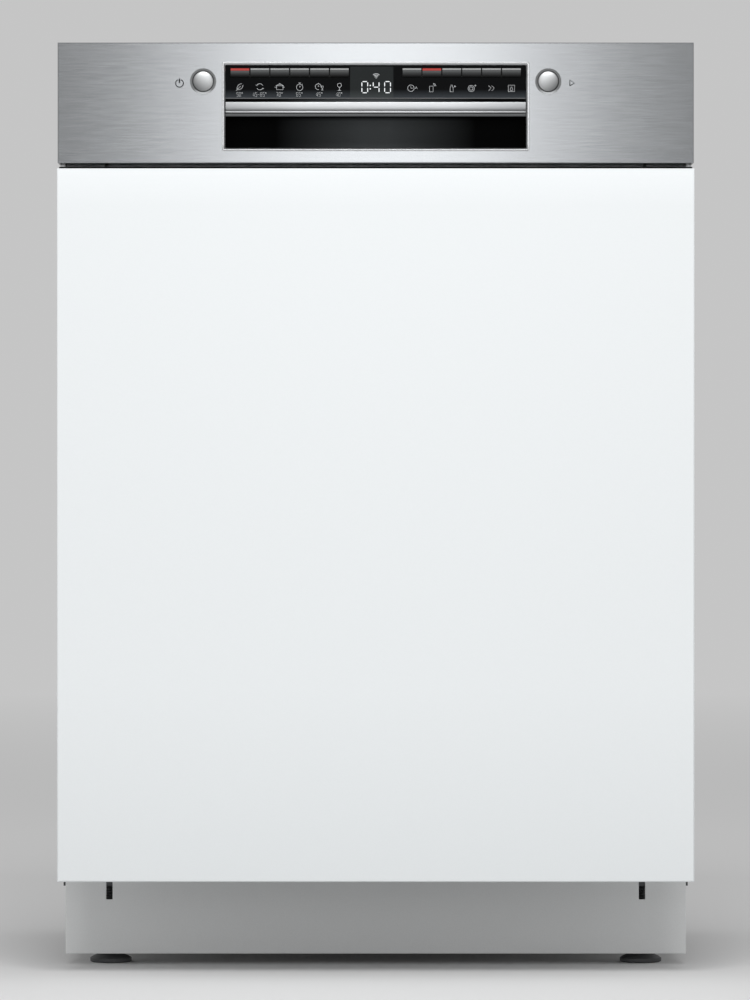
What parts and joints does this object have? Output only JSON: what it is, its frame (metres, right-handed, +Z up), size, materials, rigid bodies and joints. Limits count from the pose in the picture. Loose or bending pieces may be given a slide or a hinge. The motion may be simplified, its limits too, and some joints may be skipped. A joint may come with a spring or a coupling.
{
  "type": "built-in dishwasher",
  "caption": "Built-in dishwasher with a drop-down door behind a white furniture front, a steel control fascia with recessed handle, racks, spray arms and adjustable feet.",
  "frame": {"origin": "centre of the footprint, on the floor under the feet", "axes": "+Z up, -Y towards the user (the door), +X to the user's right"},
  "size_m": [0.598, 0.573, 0.875],
  "materials": {
    "white_laminate": "satin white laminate on board",
    "fascia_steel": "brushed stainless steel",
    "tub_steel": "satin stainless steel",
    "bright_trim": "bright chrome",
    "button_metal": "satin metal",
    "strip_black": "gloss black",
    "housing_black": "fine grained black",
    "key_grey": "satin dark grey",
    "board_green": "circuit board",
    "sheet_galvanised": "galvanised sheet",
    "kick_white": "pale satin paint",
    "zinc_steel": "zinc plated steel",
    "seal_rubber": "soft grey rubber",
    "base_plastic": "dark grey moulding",
    "inner_plastic": "grey moulding",
    "service_plastic": "dark grey moulding",
    "cap_blue": "blue moulding",
    "rack_coating": "grey coated wire"
  },
  "bodies": {
    "cabinet": {"base_tray": "base_plastic", "tub": "tub_steel", "side_panels": "sheet_galvanised", "rear_panel": "sheet_galvanised", "top_panel": "sheet_galvanised", "worktop_brackets": "sheet_galvanised", "door_gasket": "seal_rubber", "door_striker": "zinc_steel", "hinge_brackets": "zinc_steel", "sump": "inner_plastic", "circulation_pump": "service_plastic", "drain_pump": "service_plastic", "softener_tank": "inner_plastic", "feed_pipe": "inner_plastic", "flat_filter": "tub_steel", "upper_rack_rails": "zinc_steel", "door_springs": "zinc_steel", "rear_connections": "service_plastic"},
    "door": {"furniture_panel": "white_laminate", "control_fascia": "fascia_steel", "insert_frame": "bright_trim", "control_strip": "strip_black", "handle_bar": "bright_trim", "control_housing": "housing_black", "control_board": "board_green", "door_outer_panel": "sheet_galvanised", "door_inner_liner": "tub_steel", "door_lock": "housing_black", "hinge_arms": "zinc_steel", "detergent_dispenser": "inner_plastic"},
    "front_left_foot": {"front_left_foot": "base_plastic"},
    "front_right_foot": {"front_right_foot": "base_plastic"},
    "rear_foot": {"rear_foot": "base_plastic"},
    "rear_foot_spindle": {"rear_foot_spindle": "zinc_steel"},
    "kick_plate": {"kick_plate": "kick_white"},
    "dispenser_lid": {"dispenser_lid": "service_plastic"},
    "rinse_aid_cap": {"rinse_aid_cap": "cap_blue"},
    "power_button": {"power_button": "button_metal"},
    "start_button": {"start_button": "button_metal"},
    "left_key_1": {"left_key_1": "key_grey"},
    "left_key_2": {"left_key_2": "key_grey"},
    "left_key_3": {"left_key_3": "key_grey"},
    "left_key_4": {"left_key_4": "key_grey"},
    "left_key_5": {"left_key_5": "key_grey"},
    "left_key_6": {"left_key_6": "key_grey"},
    "right_key_1": {"right_key_1": "key_grey"},
    "right_key_2": {"right_key_2": "key_grey"},
    "right_key_3": {"right_key_3": "key_grey"},
    "right_key_4": {"right_key_4": "key_grey"},
    "right_key_5": {"right_key_5": "key_grey"},
    "right_key_6": {"right_key_6": "key_grey"},
    "lower_rack": {"lower_rack": "rack_coating"},
    "folding_tines": {"folding_tines": "rack_coating"},
    "cutlery_basket": {"cutlery_basket": "inner_plastic"},
    "upper_rack": {"upper_rack": "rack_coating"},
    "cup_shelf": {"cup_shelf": "inner_plastic"},
    "upper_spray_arm": {"upper_spray_arm": "inner_plastic"},
    "lower_spray_arm": {"lower_spray_arm": "inner_plastic"},
    "filter_cylinder": {"filter_cylinder": "inner_plastic"},
    "salt_cap": {"salt_cap": "cap_blue"}
  },
  "joints": [
    {"name": "door_hinge", "type": "hinge", "parent": "cabinet", "child": "door", "pos_m": [0, -0.252, 0.168], "axis": [1, 0, 0], "range_deg": [0, 90], "stiffness_Nm_per_rad": 30, "deforming": ["door_springs"]},
    {"name": "power_button_press", "type": "slide", "parent": "door", "child": "power_button", "axis": [0, 1, 0], "range_m": [0, 0.0018], "stiffness_N_per_m": 600},
    {"name": "start_button_press", "type": "slide", "parent": "door", "child": "start_button", "axis": [0, 1, 0], "range_m": [0, 0.0018], "stiffness_N_per_m": 600},
    {"name": "left_key_1_press", "type": "slide", "parent": "door", "child": "left_key_1", "axis": [0, 1, 0], "range_m": [0, 0.001], "stiffness_N_per_m": 600},
    {"name": "left_key_2_press", "type": "slide", "parent": "door", "child": "left_key_2", "axis": [0, 1, 0], "range_m": [0, 0.001], "stiffness_N_per_m": 600},
    {"name": "left_key_3_press", "type": "slide", "parent": "door", "child": "left_key_3", "axis": [0, 1, 0], "range_m": [0, 0.001], "stiffness_N_per_m": 600},
    {"name": "left_key_4_press", "type": "slide", "parent": "door", "child": "left_key_4", "axis": [0, 1, 0], "range_m": [0, 0.001], "stiffness_N_per_m": 600},
    {"name": "left_key_5_press", "type": "slide", "parent": "door", "child": "left_key_5", "axis": [0, 1, 0], "range_m": [0, 0.001], "stiffness_N_per_m": 600},
    {"name": "left_key_6_press", "type": "slide", "parent": "door", "child": "left_key_6", "axis": [0, 1, 0], "range_m": [0, 0.001], "stiffness_N_per_m": 600},
    {"name": "right_key_1_press", "type": "slide", "parent": "door", "child": "right_key_1", "axis": [0, 1, 0], "range_m": [0, 0.001], "stiffness_N_per_m": 600},
    {"name": "right_key_2_press", "type": "slide", "parent": "door", "child": "right_key_2", "axis": [0, 1, 0], "range_m": [0, 0.001], "stiffness_N_per_m": 600},
    {"name": "right_key_3_press", "type": "slide", "parent": "door", "child": "right_key_3", "axis": [0, 1, 0], "range_m": [0, 0.001], "stiffness_N_per_m": 600},
    {"name": "right_key_4_press", "type": "slide", "parent": "door", "child": "right_key_4", "axis": [0, 1, 0], "range_m": [0, 0.001], "stiffness_N_per_m": 600},
    {"name": "right_key_5_press", "type": "slide", "parent": "door", "child": "right_key_5", "axis": [0, 1, 0], "range_m": [0, 0.001], "stiffness_N_per_m": 600},
    {"name": "right_key_6_press", "type": "slide", "parent": "door", "child": "right_key_6", "axis": [0, 1, 0], "range_m": [0, 0.001], "stiffness_N_per_m": 600},
    {"name": "dispenser_lid_slide", "type": "slide", "parent": "door", "child": "dispenser_lid", "axis": [0, 0, -1], "range_m": [0, 0.074]},
    {"name": "rinse_aid_cap_hinge", "type": "hinge", "parent": "door", "child": "rinse_aid_cap", "pos_m": [0.058, -0.2157, 0.427], "axis": [-1, 0, 0], "range_deg": [0, 95]},
    {"name": "lower_rack_slide", "type": "slide", "parent": "cabinet", "child": "lower_rack", "axis": [0, -1, 0], "range_m": [0, 0.01]},
    {"name": "upper_rack_slide", "type": "slide", "parent": "cabinet", "child": "upper_rack", "axis": [0, -1, 0], "range_m": [0, 0.01]},
    {"name": "folding_tines_fold", "type": "hinge", "parent": "lower_rack", "child": "folding_tines", "pos_m": [0.125, 0.04, 0.2761], "axis": [1, 0, 0], "range_deg": [0, 80]},
    {"name": "cutlery_basket_lift", "type": "slide", "parent": "lower_rack", "child": "cutlery_basket", "axis": [0, 0, 1], "range_m": [0, 0.04]},
    {"name": "cup_shelf_fold", "type": "hinge", "parent": "upper_rack", "child": "cup_shelf", "pos_m": [-0.2409, 0, 0.636], "axis": [0, -1, 0], "range_deg": [0, 85]},
    {"name": "upper_spray_arm_spin", "type": "hinge", "parent": "upper_rack", "child": "upper_spray_arm", "pos_m": [0, 0.014, 0.5107], "axis": [0, 0, 1], "continuous": true},
    {"name": "lower_spray_arm_spin", "type": "hinge", "parent": "cabinet", "child": "lower_spray_arm", "pos_m": [0, 0.014, 0.2203], "axis": [0, 0, 1], "continuous": true},
    {"name": "filter_cylinder_turn", "type": "hinge", "parent": "cabinet", "child": "filter_cylinder", "pos_m": [0, -0.09, 0.2015], "axis": [0, 0, 1], "range_deg": [0, 90]},
    {"name": "salt_cap_turn", "type": "hinge", "parent": "cabinet", "child": "salt_cap", "pos_m": [-0.165, -0.088, 0.2], "axis": [0, 0, 1], "range_deg": [0, 120]},
    {"name": "front_left_foot_screw", "type": "slide", "parent": "cabinet", "child": "front_left_foot", "axis": [0, 0, 1], "range_m": [0, 0.06]},
    {"name": "front_right_foot_screw", "type": "slide", "parent": "cabinet", "child": "front_right_foot", "axis": [0, 0, 1], "range_m": [0, 0.06]},
    {"name": "rear_foot_screw", "type": "slide", "parent": "cabinet", "child": "rear_foot", "axis": [0, 0, 1], "range_m": [0, 0.06]},
    {"name": "rear_foot_spindle_turn", "type": "hinge", "parent": "cabinet", "child": "rear_foot_spindle", "pos_m": [0, 0, 0.115], "axis": [0, 1, 0], "range_deg": [0, 7200]},
    {"name": "kick_plate_slide", "type": "slide", "parent": "cabinet", "child": "kick_plate", "axis": [0, 0, 1], "range_m": [0, 0.06]}
  ],
  "couplings": [
    {"joint": "rear_foot_spindle_turn", "follows": "rear_foot_screw", "rad_per_m": 2094.4}
  ]
}
